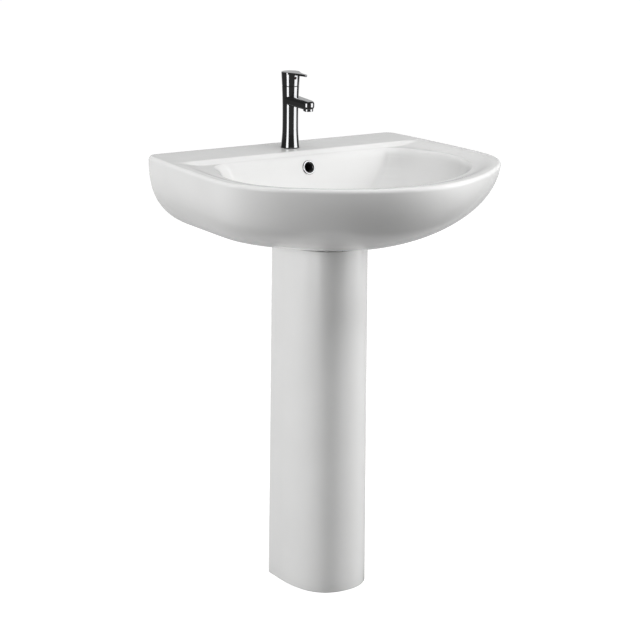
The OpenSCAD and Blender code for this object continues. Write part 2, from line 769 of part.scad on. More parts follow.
module trap_outlet_washer() {
    color(RUBBER) translate([0, branch_end_y, trap_outlet_z]) rotate([-90, 0, 0]) ring(18.5, outlet_radius + 0.1, 2.6);
}

// The pipe stops short of the wall, and a bead round it keeps it from slipping into the trap
module outlet_pipe() {
    start_y = waste_y + 34;
    bore = outlet_radius - 1.8;
    bead = branch_end_y + 12 - start_y;
    color(PLASTIC) translate([0, start_y, trap_outlet_z]) rotate([-90, 0, 0]) rotate_extrude() polygon([
        [bore, 0], [outlet_radius, 0], [outlet_radius, bead], [outlet_radius + 1.5, bead + 1.5],
        [outlet_radius, bead + 3], [outlet_radius, outlet_end_y - start_y], [bore, outlet_end_y - start_y]
    ]);
}

basin();
pedestal();
pedestal_pads();
overflow_ring();
tap_body();
tap_base_ring();
cartridge_seals();
cartridge_housing();
fixed_disc();
moving_disc();
disc_carrier();
cartridge_rotor();
spindle();
spindle_pin();
cartridge_nut();
cover_ring();
lever();
lever_grub_screw();
lever_index_cap();
aerator_housing();
aerator_insert();
aerator_washer();
tap_stud();
tap_rubber_washer();
tap_clamp_plate();
tap_nut();
hot_tail();
cold_tail();
tail_seals();
waste_body();
waste_top_seal();
waste_bottom_seal();
waste_backnut();
plug_guide();
plug_stem();
plug_spring();
plug_cap();
plug_seal();
trap_inlet_nut();
trap_inlet_washer();
trap_body();
trap_cup();
trap_cup_seal();
trap_outlet_nut();
trap_outlet_washer();
outlet_pipe();
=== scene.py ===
import json
import math

import bmesh
import bpy
import numpy as np
from mathutils import Matrix, Vector


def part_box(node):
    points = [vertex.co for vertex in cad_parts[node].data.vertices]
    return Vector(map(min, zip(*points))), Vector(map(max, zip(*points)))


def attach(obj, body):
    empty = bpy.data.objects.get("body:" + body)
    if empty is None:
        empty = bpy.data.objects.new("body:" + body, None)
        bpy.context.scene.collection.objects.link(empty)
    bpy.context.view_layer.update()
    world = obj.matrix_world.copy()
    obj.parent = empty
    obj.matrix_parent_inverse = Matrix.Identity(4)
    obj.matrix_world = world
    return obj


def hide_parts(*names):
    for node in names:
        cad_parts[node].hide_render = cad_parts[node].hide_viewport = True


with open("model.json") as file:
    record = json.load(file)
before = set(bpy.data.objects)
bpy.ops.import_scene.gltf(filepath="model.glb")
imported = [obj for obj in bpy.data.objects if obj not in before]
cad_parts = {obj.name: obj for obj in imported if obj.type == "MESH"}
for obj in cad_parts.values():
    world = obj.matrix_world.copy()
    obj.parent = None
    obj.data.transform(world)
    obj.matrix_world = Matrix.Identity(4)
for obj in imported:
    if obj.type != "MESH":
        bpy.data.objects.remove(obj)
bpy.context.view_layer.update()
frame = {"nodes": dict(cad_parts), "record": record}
MM = 0.001

# ---------------------------------------------------------------- places taken from the frame

basin_low, basin_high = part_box("basin")
WALL_Y = basin_high.y
RIM_Z = basin_high.z
BASIN_WIDTH = basin_high.x - basin_low.x
BASIN_DEPTH = basin_high.y - basin_low.y


def middle(node):
    """Middle of a CAD node's box."""
    low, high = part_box(node)
    return (low + high) / 2


TAP = middle("tap_base_ring")
WASTE = middle("waste_bottom_seal")
AERATOR = middle("aerator_housing")

# ---------------------------------------------------------------- camera

CAMERA_TARGET = Vector((-0.030, 0.044, 0.542))
CAMERA_AZIMUTH = math.radians(-33.15)
CAMERA_ELEVATION = math.radians(14.94)
CAMERA_DISTANCE = 3.580
CAMERA_ROLL = math.radians(0.69)
CAMERA_LENS = 105.1


def make_camera():
    """A camera fitted to the outlines in the photograph."""
    back = Vector((
        math.sin(CAMERA_AZIMUTH) * math.cos(CAMERA_ELEVATION),
        -math.cos(CAMERA_AZIMUTH) * math.cos(CAMERA_ELEVATION),
        math.sin(CAMERA_ELEVATION),
    ))
    right = Vector((math.cos(CAMERA_AZIMUTH), math.sin(CAMERA_AZIMUTH), 0))
    up = back.cross(right)
    rolled_right = right * math.cos(CAMERA_ROLL) + up * math.sin(CAMERA_ROLL)
    rolled_up = up * math.cos(CAMERA_ROLL) - right * math.sin(CAMERA_ROLL)
    data = bpy.data.cameras.new("camera")
    data.lens = CAMERA_LENS
    data.sensor_width = 36
    camera = bpy.data.objects.new("camera", data)
    bpy.context.scene.collection.objects.link(camera)
    turn = Matrix((rolled_right, rolled_up, back)).transposed().to_4x4()
    camera.matrix_world = Matrix.Translation(CAMERA_TARGET + back * CAMERA_DISTANCE) @ turn
    bpy.context.scene.camera = camera


make_camera()

# ---------------------------------------------------------------- mesh helpers

SMOOTH_ANGLE = 30
WELD_DISTANCE = 1e-6
REVOLVE_STEPS, TURNED_STEPS, ROUND_STEPS = 128, 96, 4


def new_object(name, vertices, faces, smooth_angle=SMOOTH_ANGLE):
    """A mesh object, smooth except where faces meet at more than the angle."""
    mesh = bpy.data.meshes.new(name)
    mesh.from_pydata([tuple(v) for v in vertices], [], faces)
    mesh.validate()
    piece = bpy.data.objects.new(name, mesh)
    bpy.context.scene.collection.objects.link(piece)
    finish_mesh(piece, smooth_angle)
    return piece


def finish_mesh(piece, smooth_angle=SMOOTH_ANGLE):
    """Welds, turns the normals outwards and sets the shading."""
    mesh = piece.data
    work = bmesh.new()
    work.from_mesh(mesh)
    bmesh.ops.remove_doubles(work, verts=work.verts, dist=WELD_DISTANCE)
    bmesh.ops.recalc_face_normals(work, faces=work.faces)
    work.to_mesh(mesh)
    work.free()
    mesh.polygons.foreach_set("use_smooth", [True] * len(mesh.polygons))
    mesh.set_sharp_from_angle(angle=math.radians(smooth_angle))


def stack(rings, loop=False, ladder=False):
    """Vertices and faces of rings joined one to the next.

    Both ends are closed, unless the rings loop. An end is closed with a fan round the ring's own
    middle, or with a ladder of faces between the ring's first half and its mirrored second half.
    """
    count = len(rings[0])
    vertices = [p for ring in rings for p in ring]
    faces = []
    for k in range(len(rings) if loop else len(rings) - 1):
        low, high = k * count, (k + 1) % len(rings) * count
        for i in range(count):
            j = (i + 1) % count
            faces.append((low + i, low + j, high + j, high + i))
    for end in () if loop else (0, len(rings) - 1):
        start = end * count
        if ladder:
            for i in range((count - 1) // 2):
                corners = (start + i, start + i + 1, start + count - 2 - i, start + count - 1 - i)
                faces.append(corners if len(set(corners)) == 4 else corners[:2] + corners[3:])
        else:
            vertices.append(np.mean(np.array(rings[end]), axis=0))
            faces += [(len(vertices) - 1, start + i, start + (i + 1) % count) for i in range(count)]
    return vertices, faces


def revolve(name, profile, y, smooth_angle=SMOOTH_ANGLE):
    """Turns a profile of (radius, height) about an upright axis in the sink's middle plane."""
    turns = np.linspace(0, 2 * math.pi, REVOLVE_STEPS, endpoint=False)
    rings = [[(radius * math.cos(a), y + radius * math.sin(a), z) for a in turns]
             for radius, z in profile]
    return new_object(name, *stack(rings), smooth_angle)


def circle(centre, axis, radius, steps):
    """Points round an axis."""
    side = axis.orthogonal().normalized()
    other = axis.cross(side)
    return [centre + (side * math.cos(a) + other * math.sin(a)) * radius
            for a in np.linspace(0, 2 * math.pi, steps, endpoint=False)]


def rod(radius, start, end, steps=48):
    """A plain cylinder used as a cutter."""
    start, end = Vector(start), Vector(end)
    axis = (end - start).normalized()
    rings = [circle(point, axis, radius, steps) for point in (start, end)]
    return new_object("cutter", *stack(rings))


def block(low, high):
    """A plain box used as a cutter."""
    corners = [(x, y, z) for z in (low[2], high[2]) for x, y in
               ((low[0], low[1]), (high[0], low[1]), (high[0], high[1]), (low[0], high[1]))]
    faces = [(0, 3, 2, 1), (4, 5, 6, 7), (0, 1, 5, 4), (1, 2, 6, 5), (2, 3, 7, 6), (3, 0, 4, 7)]
    return new_object("cutter", corners, faces)


def combine(piece, others, operation="DIFFERENCE"):
    """Cuts the others out of the piece, or joins them to it, and removes them."""
    for other in others:
        modifier = piece.modifiers.new("combine", "BOOLEAN")
        modifier.operation = operation
        modifier.solver = "EXACT"
        modifier.object = other
        bpy.context.view_layer.update()
        evaluated = piece.evaluated_get(bpy.context.evaluated_depsgraph_get())
        result = bpy.data.meshes.new_from_object(evaluated)
        piece.modifiers.remove(modifier)
        piece.data = result
        bpy.data.objects.remove(other)
    finish_mesh(piece)
    return piece


def smoother(t):
    """Rises from 0 to 1 without a jump in slope or curvature at either end."""
    t = np.clip(t, 0, 1)
    return t * t * t * (t * (6 * t - 15) + 10)


# ---------------------------------------------------------------- china
# The CAD's formulas, drawn finely, with a rounder lip and a softer dish.

# Outer skin. FALL is how bluntly a measure falls to nothing with depth, PULL how far an oval's
# corner is pulled in, and EASE how far a change of curvature is spread.
SKIN_HEIGHT = 167 * MM
SKIN_CUT = SKIN_HEIGHT - 4 * MM
SKIN_MIDDLE = 160 * MM
SKIN_BACK = 20 * MM
SKIN_CORNER = 16 * MM
SKIN_PULL = 0.059
SKIN_BACK_FALL, SKIN_WIDEST_FALL, SKIN_FRONT_FALL = 2.78, 1.92, 2.16
SKIN_EASE, SKIN_FIRM, SKIN_SOFT = 60 * MM, 25 * MM, 90 * MM
BACK_WIDTH = 572 * MM
RIM_WIDEST = 296 * MM
LIP_RADIUS = 7 * MM

# Deck, dish and bowl
DECK_DEPTH = 102 * MM
DISH_DEPTH = 8 * MM
DISH_START = 0.05
BOWL_DEPTH = 144 * MM
BOWL_WIDTH = 504 * MM
BOWL_BACK = 116 * MM
BOWL_BACK_WIDTH = 450 * MM
BOWL_WIDEST = 258 * MM
BOWL_FRONT = BASIN_DEPTH - 58 * MM
BOWL_CORNER = 45 * MM
BOWL_PULL = 0.018
BOWL_REAR_FALL, BOWL_SIDE_FALL = 1.4, 1.7
BOWL_EASE, BOWL_FIRM, BOWL_SOFT = 40 * MM, -1 * MM, 4 * MM
BOWL_EDGE_RADIUS = 8 * MM
BOWL_EDGE_SPREAD = 4 * MM

# Inside of the china
CHINA_WALL = 9 * MM
BACK_WALL = 14 * MM
CAVITY_LEVELS = [138, 132, 126, 118, 110, 100, 90, 75, 60, 45, 35, 25, 15]
CAVITY_BEHIND_BOWL = 28 * MM
CAVITY_REAR_NEAREST, CAVITY_REAR_FARTHEST = 88 * MM, 142 * MM

# Holes, as radii. PAST is how far a cutter runs past the face it opens.
PAST = 0.010
TAP_HOLE, WASTE_HOLE, WASTE_SEAT = 15.5 * MM, 22.5 * MM, 33 * MM
OVERFLOW_HOLE, OVERFLOW_SEAT = 10.6 * MM, 13.4 * MM
WASTE_SEAT_Z = RIM_Z - BOWL_DEPTH - 0.003
OVERFLOW_HOLE_IN, OVERFLOW_HOLE_OUT = 0.020, 0.014
OVERFLOW_SEAT_IN, OVERFLOW_SEAT_OUT = 0.001, 0.019
BOLT_HOLE, BOLT_X, BOLT_Z, BOLT_DEPTH = 6 * MM, 0.140, 0.790, 0.020
RELIEF_HALF_WIDTH, RELIEF_NEAR, RELIEF_FAR, RELIEF_RISE = 0.150, 0.020, 0.082, 0.030
WASTE_D = WALL_Y - WASTE.y
OVERFLOW_DROP = 29 * MM
OVERFLOW_TILT = math.radians(16)

BACK_STEPS, CORNER_STEPS, SIDE_STEPS, FRONT_STEPS = 40, 20, 60, 120
RING_HALF = 280
SKIN_RINGS, LIP_RINGS, RIM_RINGS, BOWL_RINGS = 56, 9, 40, 90


def falloff(u, n):
    """Falls from 1 at u = 0 to 0 at u = 1 along an oval of power n."""
    return max(1 - u ** n, 0) ** (1 / n)


def oval(t, pull):
    """Quarter of an oval at angle t: an ellipse pulled in round its corner, or out if negative."""
    scale = 1 - pull * math.sin(2 * t) ** 2
    return math.cos(t) * scale, math.sin(t) * scale


def half_ring(half_w, half_back, back_d, widest_d, front_d, pull, corner):
    """Half of a D-shaped ring, from the middle of its back edge to the middle of its front."""
    points = [(i / BACK_STEPS * (half_back - corner), back_d) for i in range(BACK_STEPS)]
    for i in range(CORNER_STEPS):
        a = math.pi / 2 * i / CORNER_STEPS
        points.append((half_back - corner + corner * math.sin(a),
                       back_d + corner - corner * math.cos(a)))
    for i in range(SIDE_STEPS):
        s = i / SIDE_STEPS
        points.append((half_w - (half_w - half_back) * (1 - s) ** 2,
                       back_d + corner + (widest_d - back_d - corner) * s))
    for i in range(FRONT_STEPS + 1):
        across, along = oval(math.pi / 2 * i / FRONT_STEPS, pull)
        points.append((half_w * across, widest_d + (front_d - widest_d) * along))
    return points


def eased(half, reach, firm, soft):
    """The half ring with evenly spaced points, and its changes of curvature spread over the reach.

    Nothing moves nearer the wall than firm, and everything moves freely beyond soft.
    """
    half = np.array(half)
    along = np.concatenate([[0], np.cumsum(np.linalg.norm(np.diff(half, axis=0), axis=1))])
    even = np.linspace(0, along[-1], RING_HALF)
    half = np.stack([np.interp(even, along, half[:, i]) for i in (0, 1)], axis=1)
    width = max(1, round(reach / (even[1] - even[0])))
    mirror = np.array([-1, 1])
    longer = np.concatenate([half[width:0:-1] * mirror, half, half[-2:-width - 2:-1] * mirror])
    kernel = np.hanning(2 * width + 3)[1:-1]
    kernel /= kernel.sum()
    spread = np.stack([np.convolve(longer[:, i], kernel, "valid") for i in (0, 1)], axis=1)
    share = smoother((half[:, 1] - firm) / (soft - firm))[:, None]
    return half + (spread - half) * share


def whole_ring(half, z):
    """The half ring and its mirror image, as points at height z."""
    right = [(x, WALL_Y - d, z) for x, d in half]
    left = [(-x, WALL_Y - d, z) for x, d in half[-2:0:-1]]
    return np.array(right + left)


def skin_ring(h, inset, back_inset, z):
    """Plan of the outer skin h below the rim, pulled in by the insets."""
    u = h / SKIN_HEIGHT
    half_back = BACK_WIDTH / 2 * falloff(u, SKIN_BACK_FALL) - inset
    half_w = half_back + (BASIN_WIDTH - BACK_WIDTH) / 2 * (1 - u) ** 2
    widest_d = SKIN_BACK + (RIM_WIDEST - SKIN_BACK) * falloff(u, SKIN_WIDEST_FALL)
    front_d = SKIN_MIDDLE + (BASIN_DEPTH - SKIN_MIDDLE) * falloff(u, SKIN_FRONT_FALL) - inset
    corner = min(SKIN_CORNER, half_back / 2)
    half = half_ring(half_w, half_back, back_inset, widest_d, front_d, SKIN_PULL, corner)
    half = eased(half, min(SKIN_EASE, front_d / 8), back_inset + SKIN_FIRM, back_inset + SKIN_SOFT)
    return whole_ring(half, z)


def bowl_part(h):
    """Depth h below the rim as a part of the way from the dish to the bottom of the bowl."""
    return (max(h, DISH_DEPTH) - DISH_DEPTH) / (BOWL_DEPTH - DISH_DEPTH)


def bowl_edge(h):
    """How far the bowl's rounded edge has turned inwards at depth h."""
    return BOWL_EDGE_RADIUS * (1 - math.exp((DISH_DEPTH - max(h, DISH_DEPTH)) / BOWL_EDGE_SPREAD))


def bowl_rear(h):
    """The bowl's rear wall at depth h."""
    start = BOWL_BACK + bowl_edge(h)
    return start + (WASTE_D - start) * (1 - falloff(bowl_part(h), BOWL_REAR_FALL))


def bowl_ring(h, outset, back_d, z):
    """Plan of the bowl at depth h, pushed out by the outset, with its rear at back_d."""
    s = falloff(bowl_part(h), BOWL_SIDE_FALL)
    e = bowl_edge(h)
    half_w = (BOWL_WIDTH / 2 - e) * s + outset
    half_back = (BOWL_BACK_WIDTH / 2 - e) * s + outset
    widest_d = WASTE_D + (BOWL_WIDEST - WASTE_D) * s
    front_d = WASTE_D + (BOWL_FRONT - e - WASTE_D) * s + outset
    corner = min(BOWL_CORNER, half_back * 0.5)
    half = half_ring(half_w, half_back, back_d, widest_d, front_d, BOWL_PULL, corner)
    half = eased(half, min(BOWL_EASE, half_back / 4), back_d + BOWL_FIRM, back_d + BOWL_SOFT)
    return whole_ring(half, z)


def basin_shell():
    """The china's whole outside: skin, lip, dished rim and bowl, as one closed surface."""
    rings = []
    for a in np.linspace(90, 0, SKIN_RINGS, endpoint=False):
        h = SKIN_CUT * math.sin(math.radians(a))
        if h > LIP_RADIUS:
            rings.append(skin_ring(h, 0, 0, RIM_Z - h))
    for a in np.radians(np.linspace(0, 90, LIP_RINGS)):
        inset = LIP_RADIUS * (1 - math.cos(a))
        h = LIP_RADIUS * (1 - math.sin(a))
        rings.append(skin_ring(h, inset, 0, RIM_Z - h))
    lip = rings[-1]
    edge = bowl_ring(DISH_DEPTH, 0, BOWL_BACK, RIM_Z)
    for w in np.linspace(0, 1, RIM_RINGS)[1:-1]:
        ring = lip + (edge - lip) * w
        over_dish = smoother((WALL_Y - ring[:, 1] - DECK_DEPTH) / (BOWL_BACK - DECK_DEPTH))
        ring[:, 2] = RIM_Z - DISH_DEPTH * smoother((w - DISH_START) / (1 - DISH_START)) * over_dish
        rings.append(ring)
    for a in np.linspace(0, math.pi, BOWL_RINGS, endpoint=False):
        h = DISH_DEPTH + (BOWL_DEPTH - DISH_DEPTH) * (1 - math.cos(a)) / 2
        rings.append(bowl_ring(h, 0, bowl_rear(h), RIM_Z - h))
    return new_object("basin_china", *stack(rings))


def cavity():
    """The hollow between the skin and the bowl."""
    outer, inner = [], []
    for level in CAVITY_LEVELS:
        h = level * MM
        outer.append(skin_ring(h + CHINA_WALL, CHINA_WALL, BACK_WALL, RIM_Z - h))
        rear = bowl_rear(h - CHINA_WALL) - CAVITY_BEHIND_BOWL
        rear = min(max(rear, CAVITY_REAR_NEAREST), CAVITY_REAR_FARTHEST)
        inner.append(bowl_ring(h - CHINA_WALL, CHINA_WALL, rear, RIM_Z - h))
    return new_object("cutter", *stack(outer + inner[::-1], loop=True))


OVERFLOW = Vector((0, WALL_Y - bowl_rear(OVERFLOW_DROP), RIM_Z - OVERFLOW_DROP))
OVERFLOW_OUT = Vector((0, -math.cos(OVERFLOW_TILT), math.sin(OVERFLOW_TILT)))


def make_basin():
    """The china shell with its cavity, its holes and the open relief under the deck."""
    basin = basin_shell()
    bottom = RIM_Z - SKIN_CUT
    cutters = [
        cavity(),
        block((-RELIEF_HALF_WIDTH, WALL_Y - RELIEF_FAR, bottom - PAST),
              (RELIEF_HALF_WIDTH, WALL_Y - RELIEF_NEAR, bottom + RELIEF_RISE)),
        rod(TAP_HOLE, (0, TAP.y, RIM_Z - 2 * PAST), (0, TAP.y, RIM_Z + PAST)),
        rod(WASTE_HOLE, (0, WASTE.y, bottom - PAST), (0, WASTE.y, RIM_Z)),
        rod(WASTE_SEAT, (0, WASTE.y, WASTE_SEAT_Z), (0, WASTE.y, RIM_Z), 96),
        rod(OVERFLOW_HOLE, OVERFLOW - OVERFLOW_OUT * OVERFLOW_HOLE_IN,
            OVERFLOW + OVERFLOW_OUT * OVERFLOW_HOLE_OUT),
        rod(OVERFLOW_SEAT, OVERFLOW - OVERFLOW_OUT * OVERFLOW_SEAT_IN,
            OVERFLOW + OVERFLOW_OUT * OVERFLOW_SEAT_OUT, 72),
    ]
    for x in (-BOLT_X, BOLT_X):
        cutters.append(rod(BOLT_HOLE, (x, WALL_Y - BOLT_DEPTH, BOLT_Z), (x, WALL_Y + PAST, BOLT_Z)))
    return combine(basin, cutters)


# ---------------------------------------------------------------- column

COLUMN_BACK, COLUMN_STRAIGHT, COLUMN_FRONT = 123 * MM, 167 * MM, 282 * MM
COLUMN_HALF = 83 * MM
COLUMN_TAPER = 0.952
COLUMN_WALL = 12 * MM
COLUMN_PULL = -0.0595
COLUMN_EDGE = 2.5 * MM
COLUMN_SIDE_STEPS, COLUMN_FRONT_STEPS, COLUMN_LEVELS = 6, 60, 24


def column_plan(inset):
    """The column's U-shaped wall as one closed outline, with its edges pulled in by inset."""
    back = COLUMN_BACK + inset

    def face(t):
        """One face of the wall, t inside its outermost line."""
        half = [(COLUMN_HALF - t, back + (COLUMN_STRAIGHT - back) * i / COLUMN_SIDE_STEPS)
                for i in range(COLUMN_SIDE_STEPS)]
        for i in range(COLUMN_FRONT_STEPS + 1):
            across, along = oval(math.pi / 2 * i / COLUMN_FRONT_STEPS, COLUMN_PULL)
            half.append(((COLUMN_HALF - t) * across,
                         COLUMN_STRAIGHT + (COLUMN_FRONT - t - COLUMN_STRAIGHT) * along))
        return half + [(-x, d) for x, d in half[-2::-1]]

    return [(x, WALL_Y - d) for x, d in face(inset) + face(COLUMN_WALL - inset)[::-1]]


def column_ring(inset, z, top):
    """The column's outline at height z. It narrows evenly to its top but its back stays upright."""
    taper = 1 + (COLUMN_TAPER - 1) * z / top
    back = WALL_Y - COLUMN_BACK
    return [(x * taper, back + (y - back) * taper, z) for x, y in column_plan(inset)]


def make_pedestal():
    """The column with rounded edges at its foot and its top."""
    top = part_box("pedestal")[1].z
    rings = []
    for a in np.radians(np.linspace(0, 90, 5)):
        inset = COLUMN_EDGE * (1 - math.sin(a))
        rings.append(column_ring(inset, COLUMN_EDGE * (1 - math.cos(a)), top))
    for z in np.linspace(COLUMN_EDGE, top - COLUMN_EDGE, COLUMN_LEVELS)[1:-1]:
        rings.append(column_ring(0, z, top))
    for a in np.radians(np.linspace(90, 0, 5)):
        inset = COLUMN_EDGE * (1 - math.sin(a))
        rings.append(column_ring(inset, top - COLUMN_EDGE * (1 - math.cos(a)), top))
    return new_object("pedestal_china", *stack(rings, ladder=True))


basin = make_basin()
pedestal = make_pedestal()
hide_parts("basin")
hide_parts("pedestal")
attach(basin, "sink")
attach(pedestal, "sink")

# ---------------------------------------------------------------- tap

TAP_RADIUS = 18.4 * MM
TAP_WAIST = 15.4 * MM
SEAM_RADIUS = 16.8 * MM
LEVER_RADIUS = 18.2 * MM
WAIST_LOW, WAIST_HIGH = RIM_Z + 0.045, RIM_Z + 0.065
TAP_BASE_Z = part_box("tap_base_ring")[1].z
PIVOT_Z = middle("spindle_pin").z
DOME_RADIUS = 19 * MM
LEVER_RECESS = DOME_RADIUS + 0.6 * MM
BODY_EDGE_Z = PIVOT_Z + math.sqrt(DOME_RADIUS ** 2 - SEAM_RADIUS ** 2)
LEVER_TOP_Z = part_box("lever")[1].z
SKIRT_Z = PIVOT_Z + math.sqrt(LEVER_RECESS ** 2 - SEAM_RADIUS ** 2) + 0.3 * MM
SPOUT_REACH = TAP.y - AERATOR.y
SPOUT_Z = RIM_Z + 93.5 * MM
SPOUT_THICKNESS = 18 * MM
SPOUT_SLOPE = math.radians(2.5)
SPOUT_TIP_RADIUS = 11.8 * MM
SPOUT_EDGE_LOW, SPOUT_EDGE_HIGH = 7 * MM, 6.5 * MM
SCREW_Z = RIM_Z + 137 * MM
BASE_CHAMFER = 0.6 * MM
DOME_ANGLES = [29, 31, 33, 34.5]
BASE_BORE, CARTRIDGE_BORE, NUT_BORE, AERATOR_BORE = 15 * MM, 13 * MM, 14.4 * MM, 9.9 * MM
BASE_BORE_TOP = TAP_BASE_Z + 6.8 * MM
CARTRIDGE_FLOOR, NUT_FLOOR, BORES_TOP = PIVOT_Z - 35 * MM, PIVOT_Z - 8 * MM, PIVOT_Z + 30 * MM
BLADE_TIP_HALF, BLADE_START, BLADE_REACH = 2.6 * MM, 6 * MM, 57 * MM
BLADE_TAPER = 1.7
BLADE_THICKNESS, BLADE_SUNK = 4.6 * MM, 0.05 * MM
BLADE_EDGE_LOW, BLADE_EDGE_HIGH = 1.6 * MM, 0.9 * MM
LEVER_EDGE = 1.2 * MM
SPINDLE_BORE, SCREW_HEAD_BORE, SCREW_BORE = 4.05 * MM, 2.8 * MM, 2.5 * MM


def body_radius(z):
    """The body's radius at height z: it flares below its waist and above it."""
    below = max(WAIST_LOW - z, 0) / (WAIST_LOW - TAP_BASE_Z)
    above = max(z - WAIST_HIGH, 0) / (BODY_EDGE_Z - WAIST_HIGH)
    flare = (TAP_RADIUS - TAP_WAIST) * below ** 2
    return TAP_WAIST + flare + (SEAM_RADIUS - TAP_WAIST) * above ** 2


def offset_outline(points, distance):
    """Moves a closed counter-clockwise outline inwards along its normals."""
    points = np.array(points, float)
    ahead, behind = np.roll(points, -1, axis=0), np.roll(points, 1, axis=0)
    along = ahead - behind
    along /= np.linalg.norm(along, axis=1)[:, None]
    inwards = np.stack([-along[:, 1], along[:, 0]], axis=1)
    return points + inwards * distance


def rounded_slab(outline, low, high, edge_low, edge_high, steps=6):
    """Rings of a level plate with the given outline and rounded edges."""
    rings = []
    for a in np.radians(np.linspace(0, 90, steps)):
        plan = offset_outline(outline, edge_low * (1 - math.sin(a)))
        rings.append([(x, y, low + edge_low * (1 - math.cos(a))) for x, y in plan])
    for a in np.radians(np.linspace(90, 0, steps)):
        plan = offset_outline(outline, edge_high * (1 - math.sin(a)))
        rings.append([(x, y, high - edge_high * (1 - math.cos(a))) for x, y in plan])
    return rings


def spout_plan():
    """Straight flanks tangent to the body and to the round tip, counter-clockwise."""
    root = body_radius(SPOUT_Z)
    lean = math.asin((root - SPOUT_TIP_RADIUS) / SPOUT_REACH)
    tip = [(SPOUT_TIP_RADIUS * math.cos(a), -SPOUT_REACH + SPOUT_TIP_RADIUS * math.sin(a))
           for a in np.linspace(-math.pi + lean, -lean, 40)]
    inside = root - 1 * MM
    back = [(inside * math.cos(a), inside * math.sin(a))
            for a in np.linspace(-lean, math.pi + lean, 30)]
    steps = 20
    right_start = np.array(tip[-1])
    right_end = np.array([root * math.cos(lean), -root * math.sin(lean)])
    left_start, left_end = right_end * (-1, 1), right_start * (-1, 1)
    right = [right_start + (right_end - right_start) * i / steps for i in range(1, steps + 1)]
    left = [left_start + (left_end - left_start) * i / steps for i in range(steps)]
    return tip + right + back[1:-1] + left


def make_tap_body():
    """The waisted body with its spout cast on, bored for the cartridge and the aerator."""
    profile = [(body_radius(TAP_BASE_Z) - BASE_CHAMFER, TAP_BASE_Z)]
    heights = np.linspace(TAP_BASE_Z + BASE_CHAMFER, BODY_EDGE_Z, 70)
    profile += [(body_radius(z), z) for z in heights]
    for a in np.radians(DOME_ANGLES):
        profile.append((DOME_RADIUS * math.cos(a), PIVOT_Z + DOME_RADIUS * math.sin(a)))
    body = revolve("tap_body_chrome", profile, TAP.y)
    place = Matrix.Translation((0, TAP.y, SPOUT_Z)) @ Matrix.Rotation(SPOUT_SLOPE, 4, "X")
    half = SPOUT_THICKNESS / 2
    rings = rounded_slab(spout_plan(), -half, half, SPOUT_EDGE_LOW, SPOUT_EDGE_HIGH, 10)
    spout = new_object("cutter", *stack([[place @ Vector(p) for p in ring] for ring in rings]))
    combine(body, [spout], "UNION")
    aerator_low = AERATOR.z - 20 * MM
    bore_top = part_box("aerator_washer")[1].z
    cutters = [
        rod(BASE_BORE, (0, TAP.y, TAP_BASE_Z - PAST), (0, TAP.y, BASE_BORE_TOP)),
        rod(CARTRIDGE_BORE, (0, TAP.y, CARTRIDGE_FLOOR), (0, TAP.y, BORES_TOP), 64),
        rod(NUT_BORE, (0, TAP.y, NUT_FLOOR), (0, TAP.y, BORES_TOP), 64),
        rod(AERATOR_BORE, (0, AERATOR.y, aerator_low), (0, AERATOR.y, bore_top), 64),
    ]
    return combine(body, cutters)


def blade_plan():
    """The lever's blade, from inside its round head to its slim tip, counter-clockwise."""
    start_half = math.sqrt(LEVER_RADIUS ** 2 - BLADE_START ** 2) - 0.6 * MM
    tip_y = -(BLADE_REACH - BLADE_TIP_HALF)
    flank = []
    for t in np.linspace(0, 1, 40):
        half = BLADE_TIP_HALF + (start_half - BLADE_TIP_HALF) * (1 - t) ** BLADE_TAPER
        flank.append((half, -BLADE_START - (BLADE_REACH - BLADE_TIP_HALF - BLADE_START) * t))
    tip = [(BLADE_TIP_HALF * math.sin(a), tip_y - BLADE_TIP_HALF * math.cos(a))
           for a in np.radians(np.linspace(-80, 80, 13))]
    left = [(-x, y) for x, y in flank]
    return [(-start_half * 0.5, 0)] + left + tip + flank[::-1] + [(start_half * 0.5, 0)]


def make_lever():
    """The round head, hollow under its dome, with its blade."""
    top = LEVER_TOP_Z
    profile = [(0.0, PIVOT_Z + LEVER_RECESS)]
    start = math.asin((SKIRT_Z - PIVOT_Z) / LEVER_RECESS)
    for a in np.linspace(math.pi / 2, start, 24)[1:]:
        profile.append((LEVER_RECESS * math.cos(a), PIVOT_Z + LEVER_RECESS * math.sin(a)))
    profile.append((SEAM_RADIUS - 0.02 * MM, SKIRT_Z))
    for z in np.linspace(SKIRT_Z + 0.4 * MM, top - LEVER_EDGE, 8):
        rise = (z - SKIRT_Z) / (top - LEVER_EDGE - SKIRT_Z)
        profile.append((SEAM_RADIUS + (LEVER_RADIUS - SEAM_RADIUS) * rise, z))
    for a in np.radians(np.linspace(0, 90, 7))[1:]:
        profile.append((LEVER_RADIUS - LEVER_EDGE * (1 - math.cos(a)),
                        top - LEVER_EDGE * (1 - math.sin(a))))
    lever = revolve("lever_chrome", profile, TAP.y)
    rings = rounded_slab(blade_plan(), top - BLADE_THICKNESS, top - BLADE_SUNK,
                         BLADE_EDGE_LOW, BLADE_EDGE_HIGH)
    rings = [[(x, y + TAP.y, z) for x, y, z in ring] for ring in rings]
    combine(lever, [new_object("cutter", *stack(rings, ladder=True))], "UNION")
    cutters = [
        rod(SPINDLE_BORE, (0, TAP.y, PIVOT_Z + 15 * MM), (0, TAP.y, PIVOT_Z + 30.4 * MM)),
        rod(SCREW_HEAD_BORE, (0, TAP.y - 15.2 * MM, SCREW_Z), (0, TAP.y - 30 * MM, SCREW_Z)),
        rod(SCREW_BORE, (0, TAP.y, SCREW_Z), (0, TAP.y - 20 * MM, SCREW_Z)),
    ]
    return combine(lever, cutters)


tap_body = make_tap_body()
lever = make_lever()

# ---------------------------------------------------------------- small fittings

